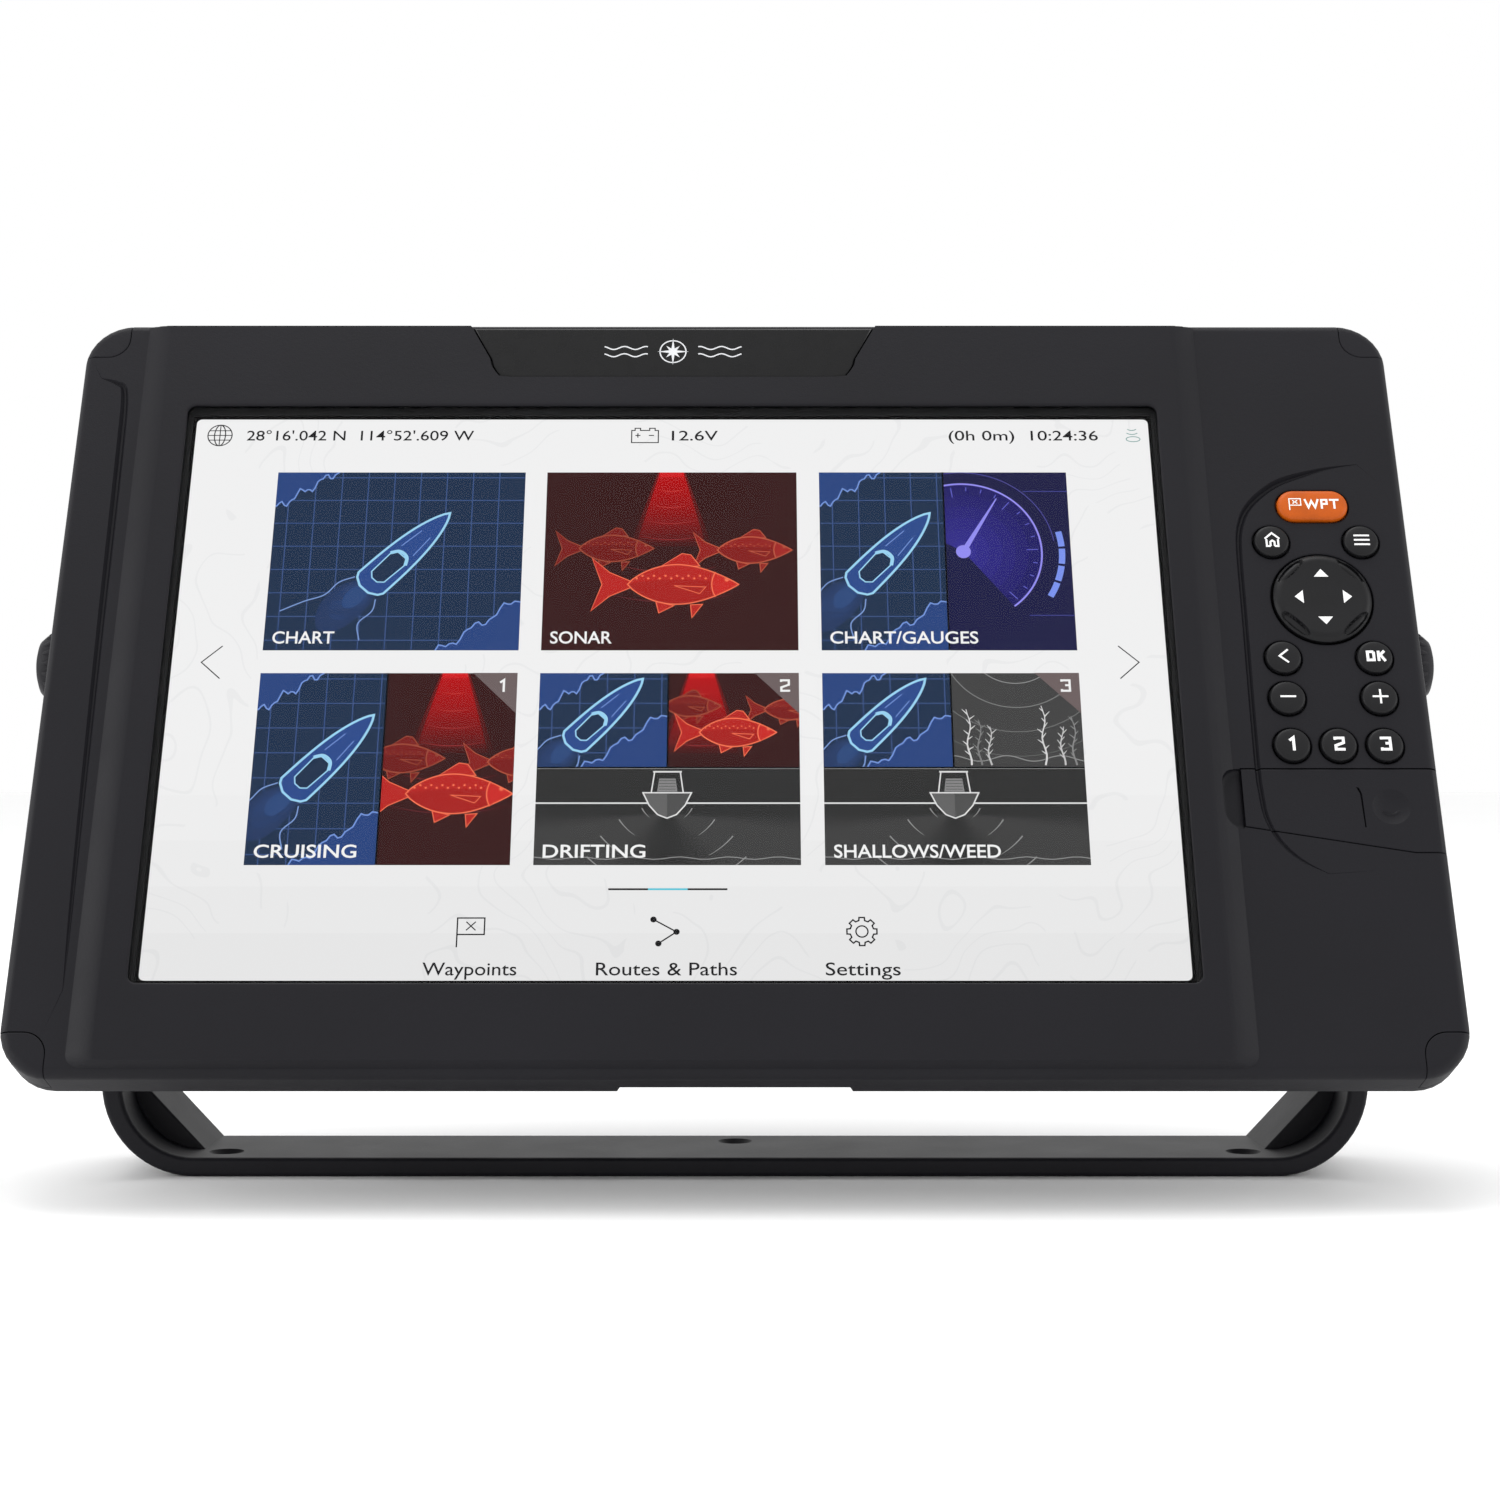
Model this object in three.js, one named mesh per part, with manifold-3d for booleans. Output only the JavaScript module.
// A chartplotter display: a leaning display head on a trunnion bracket, clamped by two knobs.
//
// Units are millimetres. World frame: +X to the right of someone facing the screen, +Y away from them, +Z up,
// with the origin at the middle of the bracket's foot, on the surface that it is screwed to.
// Head frame (inside the tilt group): x across the screen, y into the case with 0 at the front of the screen
// surround, z up the screen with 0 at the height of the screen's centre.
import * as THREE from "three";
import { mergeVertices } from "three/addons/utils/BufferGeometryUtils.js";
import Module from "manifold-3d";

const wasm = await Module();
wasm.setup();

// ---------------------------------------------------------------- driving dimensions

const GAP = 0.3; // clearance between neighbours that touch
const CURVE_STEPS = 3; // half the segments in a quarter turn of an outline
const COARSE = { curveSegments: 1 }; // the same for corners too small to show
const ROUND = 20; // segments round a small cylinder
const WIDE_ROUND = 32; // segments round a large one

const LEAN = THREE.MathUtils.degToRad(25); // how far the head leans back from upright
const PIVOT = { y: 14, z: 135 }; // tilt axis in the world frame
const PIVOT_IN_HEAD = { y: 36, z: 21.7 }; // the same axis in the head frame

const CASE = { halfWidth: 181, bottom: -106.3, top: 113.3, corner: 13, wing: 3, back: 15 };
const SURROUND = { left: -163.7, right: 128.1, slope: 7.2, bottom: -104.3, top: 112 };
const FRONT_ROUND = { depth: 3, inset: 1.6 };
const CAVITY = { halfWidth: 165.3, bottom: -102.8, top: 109.8, front: 6 };
const SCREEN_X = -17.2; // centre of the screen across the case

const WINDOW = { width: 265.4, height: 167.6, corner: 2.4, z: 0.6 };
const GLASS = { width: 270, height: 172.4, front: 1, back: 2.2 };
const SEAL_RING = { width: 263, height: 165.2, front: 2.5, back: 2.8 };
const PANEL = { width: 274, height: 179, front: 3.1, back: 5.1 };
const GUIDE = { width: 268, height: 172, front: 5.4, back: 8.8 };
const LED_BAR = { width: 262, height: 2.4, z: -88, front: 5.8, back: 8.6 };
const TRAY = { width: 278.6, height: 184.4, front: 3.1, floor: 9.4, back: 10.6, wall: 1.1 };

const KEY = { radius: 4.7, hole: 5.1, flange: 5.5, front: 1.7, wall: 5.2, flangeFront: 5.5, back: 6.1 };
const WAYPOINT_KEY = { halfLength: 9.5, radius: 4.6, x: 155.9, z: 54 };
const KEY_COLUMNS = [143.9, 155.9, 167.9];
const ROUND_KEYS = {
  key_home: [KEY_COLUMNS[0], 42.9],
  key_menu: [KEY_COLUMNS[2], 42.9],
  key_back: [KEY_COLUMNS[0], 8],
  key_ok: [KEY_COLUMNS[2], 8],
  key_minus: [KEY_COLUMNS[0], -3.8],
  key_plus: [KEY_COLUMNS[2], -3.8],
  key_1: [KEY_COLUMNS[0], -17.4],
  key_2: [KEY_COLUMNS[1], -17.4],
  key_3: [KEY_COLUMNS[2], -17.4],
};
const DPAD = { x: 155.9, z: 25.6, radius: 13, hole: 13.6, front: 1.3, back: 4.7, carrierFront: 5, carrierBack: 6.5 };
const KEYPAD = { left: 136.5, right: 174.8, bottom: -23.2, top: 61.2 };

// The card door's outline runs clockwise from its top left corner; its lower edge slopes down to the right.
const DOOR = { left: 130, right: 180.9, top: -24, bottomLeft: -40, bottomRight: -48.6, front: 3, back: 4.6 };
const HINGE = { x: 176, y: 6.5, knuckle: 1.9, pin: 0.9, bore: 1.2, sweep: 6.4 };
const CARD_BAY = { left: 134, right: 166, bottom: -38.6, top: -26.4, floor: 7.6, back: 9.6 };
const CARD_SLOT = { x: 148, z: -32.5, width: 12.4, height: 1.8 };
const THUMB_DISH = { left: 124.6, bottom: -40.6, corner: 4.5, floor: 4.4 };
const LIP_NOTCH = { halfWidth: 28, spread: 1.8, front: 11.8, top: -104.4 };

const CAP = { fromSide: 12.4, fromEdge: 11.5, corner: 6, back: 12.4, skin: 2, wall: 3 };
const MOUNT_HOLE = { inset: 7.6, radius: 2.2 };
const EMBLEM = { bottom: 93.6, halfTop: 57.8, halfBottom: 50.6, corner: 6, front: 0.7, back: 1.5 };

const COVER = { halfWidth: 152, bottom: -92, top: 96, corner: 16, wall: 3, back: 57, flangeFront: 12.2 };
const COVER_BEVEL = 4;
const FIN = { width: 2, height: 84, z: 34, rise: 3, pitch: 13, count: 15 };
const BOSS = { radius: 13, reach: 158, hollow: 5.3, root: 141 };
const INSERT = { outer: 5, bore: 3.3, from: 142, to: 157.7 };
const SOCKETS = { power_socket: [-78, 10], transducer_socket: [-40, 12], network_socket: [-4, 8] };
const SOCKET = { z: -58, collar: 66, flange: 2.5, recess: 2, rim: 2.2, inner: 51 };
const VENT = { x: 62, z: -58, stem: 4, cap: 6, back: 59 };
const GASKET = { outer: 178.6, width: 4.5, front: 15.3, back: 17.2 };
const CASE_SEAL = { width: 2, front: 10, back: 11.9 };
const SCREW = { x: 150, top: 102.6, bottom: -96.3, shank: 1.5, head: 3, headHigh: 2, boss: 3.5, tip: 7 };

const STRAP = { halfWidth: 166.9, thick: 5.4, base: 5, front: -20, back: 20, corner: 24.4, inner: 19 };
const GUSSET = { reach: 19, rise: 20.5, front: -5.3 };
const ARM = { shoulder: 26, radius: 15.5, slot: 3.4, pad: 12 };
const FOOT_HOLES = [
  [-136, -9],
  [0, 9],
  [136, -9],
];
const FOOT_HOLE_RADIUS = 2.6;
const PAD = { from: 158.3, to: 161.2, bore: 3.5 };
const WASHER = { from: 167.2, to: 168.7, radius: 9, bore: 3.3 };
const KNOB = { from: 169, waist: 172, shoulder: 187.5, to: 192, radius: 12.4, end: 9.6 };
const STUD = { radius: 3, from: 145, to: 184 };

// ---------------------------------------------------------------- geometry helpers

// A closed three.js geometry as a manifold solid.
function solid(geometry) {
  const bare = geometry.index ? geometry.toNonIndexed() : geometry.clone();
  for (const name of Object.keys(bare.attributes)) if (name !== "position") bare.deleteAttribute(name);
  const merged = mergeVertices(bare, 1e-4);
  return new wasm.Manifold(
    new wasm.Mesh({
      numProp: 3,
      vertProperties: new Float32Array(merged.attributes.position.array),
      triVerts: new Uint32Array(merged.index.array),
    }),
  );
}

// A manifold solid as a three.js geometry.
function geometryOf(shape) {
  const mesh = shape.getMesh();
  const points = new Float32Array(mesh.numVert * 3);
  for (let i = 0; i < mesh.numVert; i++) {
    const start = i * mesh.numProp;
    points.set(mesh.vertProperties.subarray(start, start + 3), i * 3);
  }
  const geometry = new THREE.BufferGeometry();
  geometry.setAttribute("position", new THREE.BufferAttribute(points, 3));
  geometry.setIndex(new THREE.BufferAttribute(new Uint32Array(mesh.triVerts), 1));
  geometry.computeVertexNormals();
  return geometry;
}

const join = (...parts) => parts.flat().reduce((all, part) => all.add(part));
const cut = (body, ...tools) => tools.flat().reduce((left, tool) => left.subtract(tool), body);

// An outline in x and z, run through the thickness from y = front to y = back.
function plate(outline, front, back, bevel = {}) {
  const settings = { depth: back - front, bevelEnabled: false, curveSegments: CURVE_STEPS, ...bevel };
  const geometry = new THREE.ExtrudeGeometry(outline, settings);
  geometry.rotateX(Math.PI / 2);
  geometry.translate(0, back, 0);
  return solid(geometry);
}

// An outline in x and y, run up from z = low to z = high.
function column(outline, low, high) {
  const settings = { depth: high - low, bevelEnabled: false, curveSegments: CURVE_STEPS };
  return solid(new THREE.ExtrudeGeometry(outline, settings).translate(0, 0, low));
}

// An outline in y and z, run across from x = from to x = to.
function across(outline, from, to) {
  const settings = { depth: to - from, bevelEnabled: false, curveSegments: 2 * CURVE_STEPS };
  const geometry = new THREE.ExtrudeGeometry(outline, settings).translate(0, 0, from);
  const turn = new THREE.Matrix4().makeBasis(
    new THREE.Vector3(0, 1, 0),
    new THREE.Vector3(0, 0, 1),
    new THREE.Vector3(1, 0, 0),
  );
  return solid(geometry.applyMatrix4(turn));
}

function block(x0, x1, y0, y1, z0, z1) {
  const geometry = new THREE.BoxGeometry(x1 - x0, y1 - y0, z1 - z0);
  return solid(geometry.translate((x0 + x1) / 2, (y0 + y1) / 2, (z0 + z1) / 2));
}

// Cylinders along each axis. Sizes run from one end of the axis to the other.
function rodY(x, z, radius, from, to, sides = ROUND) {
  const geometry = new THREE.CylinderGeometry(radius, radius, to - from, sides);
  return solid(geometry.translate(x, (from + to) / 2, z));
}

function rodZ(x, y, radius, from, to, sides = ROUND) {
  const geometry = new THREE.CylinderGeometry(radius, radius, to - from, sides).rotateX(Math.PI / 2);
  return solid(geometry.translate(x, y, (from + to) / 2));
}

function rodX(y, z, radius, from, to, sides = ROUND) {
  const geometry = new THREE.CylinderGeometry(radius, radius, to - from, sides).rotateZ(-Math.PI / 2);
  return solid(geometry.translate((from + to) / 2, y, z));
}

// A turned piece about the y axis, from [radius, y] points that start and end on the axis.
function turned(profile, sides = ROUND) {
  const points = profile.map(([radius, y]) => new THREE.Vector2(radius, y));
  return solid(new THREE.LatheGeometry(points, sides));
}

function rounded(x0, x1, z0, z1, radius) {
  const shape = new THREE.Shape();
  shape.moveTo(x0 + radius, z0);
  shape.lineTo(x1 - radius, z0);
  shape.absarc(x1 - radius, z0 + radius, radius, -Math.PI / 2, 0);
  shape.lineTo(x1, z1 - radius);
  shape.absarc(x1 - radius, z1 - radius, radius, 0, Math.PI / 2);
  shape.lineTo(x0 + radius, z1);
  shape.absarc(x0 + radius, z1 - radius, radius, Math.PI / 2, Math.PI);
  shape.lineTo(x0, z0 + radius);
  shape.absarc(x0 + radius, z0 + radius, radius, Math.PI, 1.5 * Math.PI);
  return shape;
}

// A rounded outline of a given size, centred on x and z.
const centred = (width, height, radius, x, z) =>
  rounded(x - width / 2, x + width / 2, z - height / 2, z + height / 2, radius);

const polygon = (points) => new THREE.Shape(points.map(([a, b]) => new THREE.Vector2(a, b)));

const stadium = (x, z, halfLength, radius) =>
  rounded(x - halfLength, x + halfLength, z - radius, z + radius, 0.92 * radius);

// ---------------------------------------------------------------- scene helpers

const plastic = { color: 0x2b2b2f, roughness: 0.55, metalness: 0 };
const LOOKS = {
  case_plastic: plastic,
  gloss_plastic: { color: 0x1d1d20, roughness: 0.25, metalness: 0 },
  key_rubber: { color: 0x232326, roughness: 0.5, metalness: 0 },
  orange_rubber: { color: 0xd9721a, roughness: 0.45, metalness: 0 },
  seal_rubber: { color: 0x17171a, roughness: 0.8, metalness: 0 },
  glass: { color: 0xdfe4e8, roughness: 0.05, metalness: 0 },
  screen: { color: 0xf0f1f2, roughness: 0.3, metalness: 0 },
  board: { color: 0x1d4d33, roughness: 0.5, metalness: 0 },
  light_guide: { color: 0xf2f4f5, roughness: 0.2, metalness: 0 },
  steel: { color: 0x9a9da1, roughness: 0.35, metalness: 1 },
  aluminium: { color: 0xb6b9bd, roughness: 0.4, metalness: 1 },
  brass: { color: 0xb08a45, roughness: 0.35, metalness: 1 },
  ceramic: { color: 0xb9b4a6, roughness: 0.6, metalness: 0 },
};
const materials = Object.fromEntries(
  Object.entries(LOOKS).map(([name, look]) => [name, new THREE.MeshStandardMaterial({ name, ...look })]),
);

function piece(parent, name, look, shape) {
  const mesh = new THREE.Mesh(geometryOf(shape), materials[look]);
  mesh.name = name;
  parent.add(mesh);
  return mesh;
}

// ---------------------------------------------------------------- outlines that several pieces share

const caseOutline = () => rounded(-CASE.halfWidth, CASE.halfWidth, CASE.bottom, CASE.top, CASE.corner);

// One corner's region, reaching past the case's edge: sx is the side, and sz is up or down.
function cornerRegion(sx, sz, grow) {
  const edge = sz > 0 ? CASE.top : -CASE.bottom;
  const inX = CASE.halfWidth - CAP.fromSide - grow;
  const inZ = edge - CAP.fromEdge - grow;
  const shape = rounded(inX, inX + 60, inZ, inZ + 60, CAP.corner + grow / 2);
  const points = shape.getPoints(CURVE_STEPS).map((p) => [sx * p.x, sz * p.y]);
  return polygon(sx * sz > 0 ? points : points.reverse());
}

const CORNERS = [
  ["corner_cap_top_left", -1, 1],
  ["corner_cap_top_right", 1, 1],
  ["corner_cap_bottom_left", -1, -1],
  ["corner_cap_bottom_right", 1, -1],
];

function mountHoleAt(sx, sz) {
  const edge = sz > 0 ? CASE.top : -CASE.bottom;
  return [sx * (CASE.halfWidth - MOUNT_HOLE.inset), sz * (edge - MOUNT_HOLE.inset)];
}

// The card door's outline, grown all round by a clearance.
const doorOutline = (grow, right) =>
  polygon([
    [DOOR.left - grow, DOOR.top + grow],
    [DOOR.left - grow, DOOR.bottomLeft - grow],
    [right, DOOR.bottomRight - grow - (right - DOOR.right) * 0.17],
    [right, DOOR.top + grow],
  ]);

function emblemOutline(inset, top) {
  const shape = new THREE.Shape();
  const low = EMBLEM.bottom + inset;
  const half = EMBLEM.halfBottom - inset;
  const straightFrom = EMBLEM.bottom + EMBLEM.corner;
  const rise = (top - straightFrom) / (CASE.top - straightFrom);
  const flare = EMBLEM.halfBottom + rise * (EMBLEM.halfTop - EMBLEM.halfBottom) - inset;
  shape.moveTo(SCREEN_X - flare, top);
  shape.lineTo(SCREEN_X - half, low + EMBLEM.corner);
  shape.quadraticCurveTo(SCREEN_X - half + 0.6, low, SCREEN_X - half + EMBLEM.corner, low);
  shape.lineTo(SCREEN_X + half - EMBLEM.corner, low);
  shape.quadraticCurveTo(SCREEN_X + half - 0.6, low, SCREEN_X + half, low + EMBLEM.corner);
  shape.lineTo(SCREEN_X + flare, top);
  return shape;
}

// The solid that the bezel and its corner caps are both cut from.
function frontBody() {
  const trim = block(-200, 200, 0, CASE.back, -200, 200);
  const bevel = {
    bevelEnabled: true,
    bevelThickness: FRONT_ROUND.depth,
    bevelSize: FRONT_ROUND.inset,
    bevelOffset: -FRONT_ROUND.inset,
    bevelSegments: 3,
  };
  const slab = plate(caseOutline(), CASE.wing + FRONT_ROUND.depth, CASE.back + 5, bevel);
  const section = polygon([
    [SURROUND.left, CASE.wing + 0.05],
    [SURROUND.left, CASE.wing + 3],
    [SURROUND.right, CASE.wing + 3],
    [SURROUND.right, CASE.wing + 0.05],
    [SURROUND.right - SURROUND.slope, 0],
    [SURROUND.left + SURROUND.slope, 0],
  ]);
  const raised = column(section, SURROUND.bottom, SURROUND.top);
  const chamfer = across(
    polygon([
      [0, SURROUND.bottom + 1.2],
      [3.4, SURROUND.bottom],
      [8, SURROUND.bottom],
      [8, SURROUND.top],
      [3.4, SURROUND.top],
      [0, SURROUND.top - 1.6],
    ]),
    -200,
    200,
  );
  return slab.intersect(trim).add(raised.intersect(chamfer));
}

// ---------------------------------------------------------------- display head: case

function frontBezel(parent, body) {
  const bay = block(KEYPAD.left, KEYPAD.right, KEY.wall, CASE_SEAL.back, KEYPAD.bottom, KEYPAD.top);
  const cavity = plate(
    rounded(-CAVITY.halfWidth, CAVITY.halfWidth, CAVITY.bottom, CAVITY.top, 4),
    CAVITY.front,
    CASE.back + 1,
  );
  const trayPocket = plate(
    centred(TRAY.width + 2 * GAP, TRAY.height + 2 * GAP, 2, SCREEN_X, 0),
    SEAL_RING.back,
    CAVITY.front + 1,
  );
  const glassPocket = plate(
    centred(GLASS.width + 2 * GAP, GLASS.height + 2 * GAP, 3, SCREEN_X, WINDOW.z),
    GLASS.front - GAP,
    CAVITY.front + 1,
  );
  const window = plate(centred(WINDOW.width, WINDOW.height, WINDOW.corner, SCREEN_X, WINDOW.z), -1, 8);
  const doorBlock = block(CARD_BAY.left - 6, CAVITY.halfWidth + 1, CASE.wing + 2, CARD_BAY.back, -52, -23.8);
  const screwPosts = screwPlaces().map(([x, z]) => rodY(x, z, SCREW.boss, CASE.wing + 2, CASE_SEAL.back, 16));
  const cornerPosts = CORNERS.map(([, sx, sz]) =>
    plate(cornerRegion(sx, sz, CAP.wall), CASE.wing + 1, CASE.back).intersect(plate(caseOutline(), 0, CASE.back)),
  );
  const hollow = cut(body, bay, cavity, trayPocket, glassPocket, window);
  const filled = join(hollow, doorBlock, screwPosts, cornerPosts);

  const keyHoles = Object.values(ROUND_KEYS).map(([x, z]) => rodY(x, z, KEY.hole, -1, KEY.wall + 1));
  const waypointHole = plate(
    stadium(WAYPOINT_KEY.x, WAYPOINT_KEY.z, WAYPOINT_KEY.halfLength + 0.4, WAYPOINT_KEY.radius + 0.4),
    -1,
    KEY.wall + 1,
  );
  const padHole = rodY(DPAD.x, DPAD.z, DPAD.hole, -1, KEY.wall + 1, WIDE_ROUND);
  const doorCut = plate(doorOutline(GAP, CASE.halfWidth + 2), -1, DOOR.back + GAP);
  const bayCut = block(
    CARD_BAY.left,
    CARD_BAY.right,
    DOOR.back,
    CARD_BAY.floor,
    CARD_BAY.bottom,
    CARD_BAY.top,
  );
  const slot = block(
    CARD_SLOT.x - CARD_SLOT.width / 2,
    CARD_SLOT.x + CARD_SLOT.width / 2,
    CARD_BAY.floor - 1,
    CARD_BAY.back + 1,
    CARD_SLOT.z - CARD_SLOT.height / 2,
    CARD_SLOT.z + CARD_SLOT.height / 2,
  );
  const hingeSweep = rodZ(HINGE.x, HINGE.y, HINGE.sweep, DOOR.bottomRight - GAP, DOOR.top + GAP);
  const hingeBore = rodZ(HINGE.x, HINGE.y, HINGE.bore, DOOR.bottomRight - 4, DOOR.top + 4, 16);
  const dish = plate(
    rounded(THUMB_DISH.left, DOOR.left + 10, THUMB_DISH.bottom, DOOR.top, THUMB_DISH.corner),
    -1,
    THUMB_DISH.floor,
  ).subtract(block(DOOR.left, 200, -2, 10, -60, 0));
  const lipNotch = plate(
    polygon([
      [-LIP_NOTCH.halfWidth, LIP_NOTCH.top],
      [-LIP_NOTCH.halfWidth - LIP_NOTCH.spread, CASE.bottom - 1],
      [LIP_NOTCH.halfWidth + LIP_NOTCH.spread, CASE.bottom - 1],
      [LIP_NOTCH.halfWidth, LIP_NOTCH.top],
    ]),
    LIP_NOTCH.front,
    CASE.back + 1,
  );
  const emblemCut = plate(emblemOutline(0, CASE.top + 3), -1, EMBLEM.back + GAP);
  const capCuts = CORNERS.map(([, sx, sz]) => plate(cornerRegion(sx, sz, 0), -1, CAP.back + GAP));
  const mountHoles = CORNERS.map(([, sx, sz]) => rodY(...mountHoleAt(sx, sz), MOUNT_HOLE.radius, 10, 20, 16));
  const screwHoles = screwPlaces().map(([x, z]) => rodY(x, z, SCREW.shank + GAP, SCREW.tip - GAP, 16, 12));

  const bezel = cut(
    filled,
    keyHoles,
    waypointHole,
    padHole,
    doorCut,
    bayCut,
    slot,
    hingeSweep,
    hingeBore,
    dish,
    lipNotch,
    emblemCut,
    capCuts,
    mountHoles,
    screwHoles,
  );
  piece(parent, "front_bezel", "case_plastic", bezel);
}

function cornerCaps(parent, body) {
  for (const [name, sx, sz] of CORNERS) {
    const region = plate(cornerRegion(sx, sz, -GAP), 0, CAP.back);
    const [x, z] = mountHoleAt(sx, sz);
    const bay = rodY(x, z, 4.2, CASE.wing + CAP.skin, CASE.back, 16);
    piece(parent, name, "case_plastic", body.intersect(region).subtract(bay));
  }
}

function emblemPlate(parent) {
  const shape = plate(emblemOutline(GAP, SURROUND.top - 2), EMBLEM.front, EMBLEM.back);
  piece(parent, "emblem_plate", "gloss_plastic", shape);
}

function screwPlaces() {
  return [-SCREW.x, SCREW.x].flatMap((x) => [SCREW.top, SCREW.bottom].map((z) => [x, z]));
}

function caseScrews(parent) {
  screwPlaces().forEach(([x, z], i) => {
    const profile = [
      [0, SCREW.tip],
      [SCREW.shank, SCREW.tip],
      [SCREW.shank, CASE.back + GAP],
      [SCREW.head, CASE.back + GAP],
      [SCREW.head, CASE.back + GAP + SCREW.headHigh - 0.5],
      [SCREW.head - 0.6, CASE.back + GAP + SCREW.headHigh],
      [0, CASE.back + GAP + SCREW.headHigh],
    ];
    const mesh = piece(parent, `case_screw_${i + 1}`, "steel", turned(profile, 12));
    mesh.position.set(x, 0, z);
  });
}

function rearCover(parent) {
  const flange = plate(
    rounded(
      -CAVITY.halfWidth + GAP,
      CAVITY.halfWidth - GAP,
      CAVITY.bottom + GAP,
      CAVITY.top - GAP,
      4,
    ),
    COVER.flangeFront,
    CASE.back,
  );
  const bevel = {
    bevelEnabled: true,
    bevelThickness: COVER_BEVEL,
    bevelSize: COVER_BEVEL,
    bevelOffset: -COVER_BEVEL,
    bevelSegments: 3,
  };
  const outer = rounded(-COVER.halfWidth, COVER.halfWidth, COVER.bottom, COVER.top, COVER.corner);
  const tub = plate(outer, COVER.flangeFront - 5, COVER.back - COVER_BEVEL, bevel).intersect(
    block(-200, 200, COVER.flangeFront, 100, -200, 200),
  );
  const inset = COVER.wall;
  const inside = plate(
    rounded(
      -COVER.halfWidth + inset,
      COVER.halfWidth - inset,
      COVER.bottom + inset,
      COVER.top - inset,
      COVER.corner - inset,
    ),
    COVER.flangeFront - 1,
    COVER.back - inset,
  );
  const bosses = [-1, 1].map((side) => sideRod(side, BOSS.radius, BOSS.root, BOSS.reach, WIDE_ROUND));
  const bores = [-1, 1].map((side) => sideRod(side, BOSS.hollow, BOSS.root - 1, BOSS.reach + 1, ROUND));
  const fins = Array.from({ length: FIN.count }, (_, i) => {
    const x = (i - (FIN.count - 1) / 2) * FIN.pitch;
    const half = FIN.height / 2;
    return block(
      x - FIN.width / 2,
      x + FIN.width / 2,
      COVER.back - 1,
      COVER.back + FIN.rise,
      FIN.z - half,
      FIN.z + half,
    );
  });
  const socketHoles = Object.values(SOCKETS).map(([x, radius]) => rodY(x, SOCKET.z, radius + GAP, 50, 70, WIDE_ROUND));
  const ventHole = rodY(VENT.x, VENT.z, VENT.stem + GAP, 50, 70, 16);
  const screwHoles = screwPlaces().map(([x, z]) => rodY(x, z, SCREW.shank + GAP, 5, 20, 12));
  const shell = join(flange, tub).subtract(inside);
  const cover = cut(join(shell, bosses, fins), bores, socketHoles, ventHole, screwHoles);
  piece(parent, "rear_cover", "case_plastic", cover);
}

// A rod along the tilt axis on one side of the head, in the head frame.
function sideRod(side, radius, from, to, sides) {
  const ends = side > 0 ? [from, to] : [-to, -from];
  return rodX(PIVOT_IN_HEAD.y, PIVOT_IN_HEAD.z, radius, ...ends, sides);
}

function threadedInserts(parent) {
  for (const [name, side] of [
    ["insert_left", -1],
    ["insert_right", 1],
  ]) {
    const sleeve = sideRod(side, INSERT.outer, INSERT.from, INSERT.to, ROUND);
    const bore = sideRod(side, INSERT.bore, INSERT.from + 1.5, INSERT.to + 1, ROUND);
    piece(parent, name, "brass", sleeve.subtract(bore));
  }
}

// A flat ring with a rounded outline: w wide, between two depths.
function ring(x0, x1, z0, z1, corner, width, front, back) {
  const outer = plate(rounded(x0, x1, z0, z1, corner), front, back);
  const inner = rounded(x0 + width, x1 - width, z0 + width, z1 - width, Math.max(corner - width, 0.5));
  return outer.subtract(plate(inner, front - 1, back + 1));
}

function seals(parent) {
  const caseSeal = ring(
    -CAVITY.halfWidth + GAP,
    CAVITY.halfWidth - GAP,
    CAVITY.bottom + GAP,
    CAVITY.top - GAP,
    4,
    CASE_SEAL.width,
    CASE_SEAL.front,
    CASE_SEAL.back,
  );
  piece(parent, "case_seal", "seal_rubber", caseSeal);
  const inset = CASE.halfWidth - GASKET.outer;
  const gasket = ring(
    -GASKET.outer,
    GASKET.outer,
    CASE.bottom + inset,
    CASE.top - inset,
    CASE.corner - inset,
    GASKET.width,
    GASKET.front,
    GASKET.back,
  );
  const holes = CORNERS.map(([, sx, sz]) => rodY(...mountHoleAt(sx, sz), MOUNT_HOLE.radius + 0.6, 10, 20, 16));
  piece(parent, "flange_gasket", "seal_rubber", cut(gasket, holes));
}

function rearSockets(parent) {
  for (const [name, [x, radius]] of Object.entries(SOCKETS)) {
    const inner = COVER.back - COVER.wall - GAP;
    const profile = [
      [0, SOCKET.inner],
      [radius + SOCKET.flange, SOCKET.inner],
      [radius + SOCKET.flange, inner],
      [radius, inner],
      [radius, SOCKET.collar],
      [radius - SOCKET.rim, SOCKET.collar],
      [radius - SOCKET.rim, SOCKET.collar - SOCKET.recess],
      [0, SOCKET.collar - SOCKET.recess],
    ];
    const mesh = piece(parent, name, "gloss_plastic", turned(profile, WIDE_ROUND));
    mesh.position.set(x, 0, SOCKET.z);
  }
  const vent = [
    [0, SOCKET.inner],
    [VENT.stem, SOCKET.inner],
    [VENT.stem, COVER.back + GAP],
    [VENT.cap, COVER.back + GAP],
    [VENT.cap, VENT.back - 0.6],
    [VENT.cap - 1, VENT.back],
    [0, VENT.back],
  ];
  piece(parent, "pressure_vent", "seal_rubber", turned(vent)).position.set(VENT.x, 0, VENT.z);
}

// ---------------------------------------------------------------- display head: screen

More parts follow.
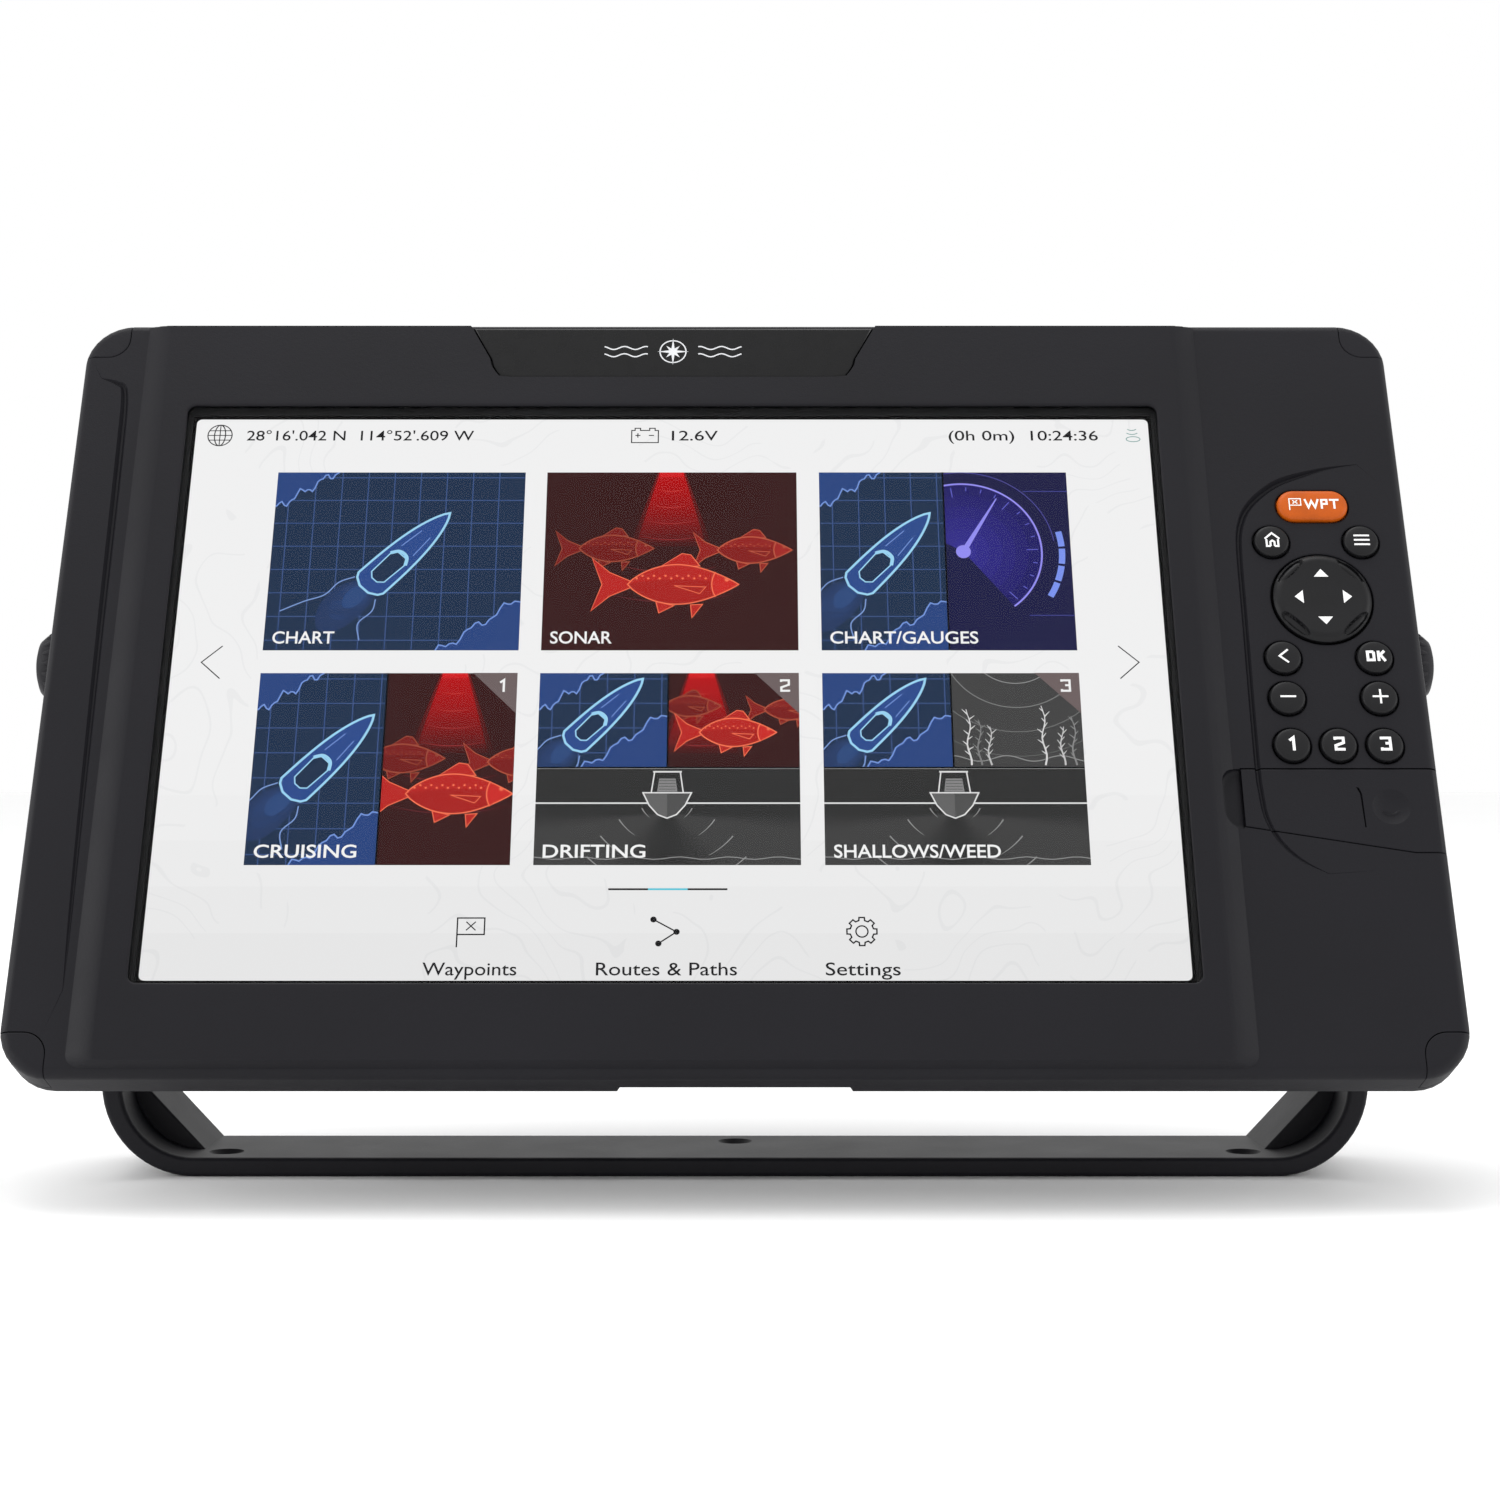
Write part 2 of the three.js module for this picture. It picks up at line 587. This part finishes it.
function screenStack(parent) {
  const slab = (size, radius, z) =>
    plate(centred(size.width, size.height, radius, SCREEN_X, z), size.front, size.back, COARSE);
  piece(parent, "cover_glass", "glass", slab(GLASS, 2.5, WINDOW.z));

  const frame = slab({ ...SEAL_RING, width: GLASS.width, height: GLASS.height }, 2.5, WINDOW.z);
  const opening = slab({ ...SEAL_RING, front: 2, back: 6 }, 1, 0);
  piece(parent, "glass_seal", "seal_rubber", frame.subtract(opening));

  piece(parent, "lcd_panel", "screen", slab(PANEL, 1, 0));
  piece(parent, "light_guide", "light_guide", slab(GUIDE, 1, 0.6));

  const bar = centred(LED_BAR.width, LED_BAR.height, 0.3, SCREEN_X, LED_BAR.z);
  piece(parent, "led_bar", "board", plate(bar, LED_BAR.front, LED_BAR.back, COARSE));

  const tray = slab(TRAY, 2, 0);
  const hollow = centred(TRAY.width - 2 * TRAY.wall, TRAY.height - 2 * TRAY.wall, 1, SCREEN_X, 0);
  piece(parent, "backlight_tray", "steel", tray.subtract(plate(hollow, TRAY.front - 1, TRAY.floor, COARSE)));
}

// ---------------------------------------------------------------- display head: electronics

function electronics(parent) {
  const spreader = join(
    plate(rounded(-144, 144, -84, 88, 12), 12, 13.6),
    block(-138, -130, 13.5, 22, -40, 40),
    block(118, 126, 13.5, 22, -40, 40),
    block(-70, -10, 13.5, 18.6, -20, 40),
  );
  piece(parent, "heat_spreader", "aluminium", spreader);

  const mainBoard = join(
    block(-112, 98, 22.4, 24, -70, 72),
    block(-62, -18, 19, 22.5, -12, 32),
    block(10, 40, 20.5, 22.5, 10, 40),
    block(52, 62, 24, 31, 40, 60),
    block(-100, -84, 24, 36, -62, -46),
    block(60, 92, 24, 30, -60, -48),
  );
  piece(parent, "main_board", "board", mainBoard);

  const can = block(-10, 44, 24.3, 29, -30, 20).subtract(block(-9, 43, 24, 28.2, -29, 19));
  piece(parent, "shield_can", "steel", can);

  const sonar = join(
    block(-60, 56, 38, 39.6, -34, 44),
    block(-50, -26, 32, 38.1, -20, 10),
    block(0, 18, 31, 38.1, 10, 34),
    block(28, 46, 34, 38.1, -24, 0),
  );
  piece(parent, "sonar_board", "board", sonar);

  const patch = block(-134, -109, 14, 15.2, 60, 85).add(block(-131, -112, 15.1, 19, 63, 82));
  piece(parent, "gps_antenna", "ceramic", patch);
  piece(parent, "wifi_antenna", "board", block(104, 140, 14, 15.2, 74, 84));

  const sounder = [
    [0, 14],
    [8, 14],
    [8, 21],
    [1.5, 21],
    [1.5, 20],
    [0, 20],
  ];
  piece(parent, "sounder", "gloss_plastic", turned(sounder)).position.set(-120, 0, -66);

  const reader = block(CARD_SLOT.x - 7.5, CARD_SLOT.x + 7.5, 10, 11.8, CARD_SLOT.z - 4, CARD_SLOT.z + 4).subtract(
    block(CARD_SLOT.x - 5.6, CARD_SLOT.x + 5.6, 9, 11.2, CARD_SLOT.z - 0.7, CARD_SLOT.z + 0.7),
  );
  piece(parent, "card_reader", "steel", reader);
}

// ---------------------------------------------------------------- display head: keypad

function keypadBacking(parent) {
  const side = 0.6;
  const outline = [KEYPAD.left + side, KEYPAD.right - side, KEYPAD.bottom + side, KEYPAD.top - side];
  const mat = plate(rounded(...outline, 1.5), 7, 7.6, COARSE);
  const domes = Object.values(ROUND_KEYS).map(([x, z]) => rodY(x, z, 2, 6.8, 7.1, 8));
  piece(parent, "keypad_mat", "seal_rubber", join(mat, domes));

  const board = plate(rounded(...outline, 1.5), 7.9, 9.3, COARSE);
  const plug = block(140, 152, 9.2, 11.2, -8, 6);
  piece(parent, "keypad_board", "board", join(board, plug));
}

function keys(parent) {
  for (const [name, [x, z]] of Object.entries(ROUND_KEYS)) {
    const profile = [
      [0, KEY.front],
      [KEY.radius - 0.9, KEY.front + 0.1],
      [KEY.radius - 0.2, KEY.front + 0.5],
      [KEY.radius, KEY.front + 1.1],
      [KEY.radius, KEY.flangeFront],
      [KEY.flange, KEY.flangeFront],
      [KEY.flange, KEY.back],
      [0, KEY.back],
    ];
    piece(parent, name, "key_rubber", turned(profile)).position.set(x, 0, z);
  }
  const { x, z, halfLength, radius } = WAYPOINT_KEY;
  const bevel = {
    bevelEnabled: true,
    bevelThickness: 0.8,
    bevelSize: 0.6,
    bevelOffset: -0.6,
    bevelSegments: 2,
  };
  const top = plate(stadium(0, 0, halfLength, radius), KEY.front + 0.8, KEY.flangeFront - 0.6, bevel);
  const flange = plate(stadium(0, 0, halfLength + 1, radius + 1), KEY.flangeFront, KEY.back);
  const neck = plate(stadium(0, 0, halfLength - 1, radius - 1), KEY.front + 1, KEY.back);
  piece(parent, "key_waypoint", "orange_rubber", join(top, neck, flange)).position.set(x, 0, z);
}

function directionPad(parent) {
  const rim = DPAD.radius;
  const profile = [
    [0, DPAD.front + 0.5],
    [rim - 4.5, DPAD.front + 0.1],
    [rim - 1.6, DPAD.front],
    [rim - 0.5, DPAD.front + 0.4],
    [rim, DPAD.front + 1.3],
    [rim, DPAD.back],
    [0, DPAD.back],
  ];
  piece(parent, "dpad_cap", "key_rubber", turned(profile, WIDE_ROUND)).position.set(DPAD.x, 0, DPAD.z);
  const carrier = rodY(0, 0, 3.5, DPAD.carrierFront, DPAD.carrierBack);
  piece(parent, "dpad_carrier", "gloss_plastic", carrier).position.set(DPAD.x, 0, DPAD.z);
}

// ---------------------------------------------------------------- display head: card door

function cardDoor(parent) {
  const skin = plate(doorOutline(0, DOOR.right), DOOR.front, DOOR.back);
  const low = DOOR.bottomRight + 0.5;
  const wrap = block(DOOR.right - 1.6, DOOR.right, DOOR.front, HINGE.y + 2, low, DOOR.top);
  const web = block(HINGE.x, DOOR.right - 1, HINGE.y - 1, HINGE.y + 1, low + 2, DOOR.top - 2);
  const knuckle = rodZ(HINGE.x, HINGE.y, HINGE.knuckle + 0.1, low + 2, DOOR.top - 2);
  const bore = rodZ(HINGE.x, HINGE.y, HINGE.bore, low - 2, DOOR.top + 2, 16);
  const dimple = rodY(167.7, -34.6, 5, DOOR.front - 1, DOOR.front + 0.5);
  piece(parent, "card_door", "case_plastic", cut(join(skin, wrap, web, knuckle), bore, dimple));

  const pin = rodZ(HINGE.x, HINGE.y, HINGE.pin, DOOR.bottomRight - 3, DOOR.top + 3, 16);
  piece(parent, "door_hinge_pin", "steel", pin);

  const seal = ring(
    CARD_BAY.left + 0.6,
    CARD_BAY.right - 0.6,
    CARD_BAY.bottom + 0.6,
    CARD_BAY.top - 0.6,
    3,
    1.6,
    DOOR.back + GAP,
    DOOR.back + 1.8,
  );
  piece(parent, "card_door_seal", "seal_rubber", seal);
}

// ---------------------------------------------------------------- bracket and knobs

function strapProfile() {
  const top = PIVOT.z + ARM.radius + 1;
  const { halfWidth: w, thick, base, corner, inner } = STRAP;
  const shape = new THREE.Shape();
  shape.moveTo(-w, top);
  shape.lineTo(-w, corner);
  shape.absarc(-w + corner, corner, corner, Math.PI, 1.5 * Math.PI);
  shape.lineTo(w - corner, 0);
  shape.absarc(w - corner, corner, corner, -Math.PI / 2, 0);
  shape.lineTo(w, top);
  shape.lineTo(w - thick, top);
  shape.lineTo(w - thick, base + inner);
  shape.absarc(w - thick - inner, base + inner, inner, 0, -Math.PI / 2, true);
  shape.lineTo(-w + thick + inner, base);
  shape.absarc(-w + thick + inner, base + inner, inner, -Math.PI / 2, -Math.PI, true);
  shape.lineTo(-w + thick, top);
  return shape;
}

// The arm seen from the side: full depth at the foot, narrowing to a round end about the tilt axis.
function armProfile() {
  const shape = new THREE.Shape();
  shape.moveTo(STRAP.front, -1);
  shape.lineTo(STRAP.back, -1);
  shape.lineTo(STRAP.back, ARM.shoulder);
  shape.lineTo(PIVOT.y + ARM.radius, PIVOT.z - 30);
  shape.lineTo(PIVOT.y + ARM.radius, PIVOT.z);
  shape.absarc(PIVOT.y, PIVOT.z, ARM.radius, 0, Math.PI);
  shape.lineTo(PIVOT.y - ARM.radius, PIVOT.z - 30);
  shape.lineTo(STRAP.front, ARM.shoulder);
  return shape;
}

function bracket(parent) {
  const strap = plate(strapProfile(), STRAP.front, STRAP.back + 20);
  const arms = across(armProfile(), -200, 200);
  const inside = STRAP.halfWidth - STRAP.thick;
  const gussets = [-1, 1].map((side) => {
    const points = [
      [side * (inside + 1), STRAP.base - 1],
      [side * (inside + 1), STRAP.base + GUSSET.rise],
      [side * inside, STRAP.base + GUSSET.rise],
      [side * (inside - GUSSET.reach), STRAP.base],
      [side * (inside - GUSSET.reach), STRAP.base - 1],
    ];
    return plate(polygon(side > 0 ? points : points.reverse()), GUSSET.front, STRAP.back);
  });
  const footHoles = FOOT_HOLES.map(([x, y]) => rodZ(x, y, FOOT_HOLE_RADIUS, -1, STRAP.base + 1, 20));
  const slot = (from, to) =>
    join(
      rodX(PIVOT.y, PIVOT.z, ARM.slot, from, to),
      block(from, to, PIVOT.y - ARM.slot, PIVOT.y + ARM.slot, PIVOT.z, PIVOT.z + 30),
    );
  const solidBracket = cut(join(strap.intersect(arms), gussets), footHoles, slot(-180, -150), slot(150, 180));
  piece(parent, "bracket", "case_plastic", solidBracket);

  for (const [name, side] of [
    ["arm_pad_left", -1],
    ["arm_pad_right", 1],
  ]) {
    const pad = rodX(0, 0, ARM.pad, PAD.from, PAD.to, WIDE_ROUND).subtract(
      rodX(0, 0, PAD.bore, PAD.from - 1, PAD.to + 1),
    );
    const mesh = piece(parent, name, "seal_rubber", pad);
    mesh.rotation.z = side > 0 ? 0 : Math.PI;
    mesh.position.set(0, PIVOT.y, PIVOT.z);
  }
}

function clampKnobs(parent) {
  for (const [side, turn] of [
    ["left", Math.PI],
    ["right", 0],
  ]) {
    const group = new THREE.Group();
    group.position.set(0, PIVOT_IN_HEAD.y, PIVOT_IN_HEAD.z);
    group.rotation.z = turn;
    parent.add(group);

    const washer = rodX(0, 0, WASHER.radius, WASHER.from, WASHER.to).subtract(
      rodX(0, 0, WASHER.bore, WASHER.from - 1, WASHER.to + 1),
    );
    piece(group, `knob_washer_${side}`, "steel", washer);

    const profile = [
      [0, KNOB.from],
      [KNOB.end, KNOB.from],
      [KNOB.radius, KNOB.waist],
      [KNOB.radius, KNOB.waist + 5],
      [KNOB.end + 0.6, KNOB.shoulder],
      [KNOB.end - 1.6, KNOB.to],
      [0, KNOB.to],
    ];
    const points = profile.map(([radius, x]) => new THREE.Vector2(radius, x));
    const grip = solid(new THREE.LatheGeometry(points, 36).rotateZ(-Math.PI / 2));
    const socket = rodX(0, 0, STUD.radius + GAP, KNOB.from - 1, STUD.to + GAP);
    piece(group, `knob_${side}`, "case_plastic", grip.subtract(socket));

    piece(group, `knob_stud_${side}`, "steel", rodX(0, 0, STUD.radius, STUD.from, STUD.to));
  }
}

// ---------------------------------------------------------------- assembly

const chartplotter = new THREE.Group();
bracket(chartplotter);

const tilt = new THREE.Group();
tilt.position.set(0, PIVOT.y, PIVOT.z);
tilt.rotation.x = -LEAN;
chartplotter.add(tilt);

const head = new THREE.Group();
head.position.set(0, -PIVOT_IN_HEAD.y, -PIVOT_IN_HEAD.z);
tilt.add(head);

const body = frontBody();
frontBezel(head, body);
cornerCaps(head, body);
emblemPlate(head);
rearCover(head);
seals(head);
caseScrews(head);
threadedInserts(head);
rearSockets(head);
screenStack(head);
electronics(head);
keypadBacking(head);
keys(head);
directionPad(head);
cardDoor(head);
clampKnobs(head);

export default chartplotter;
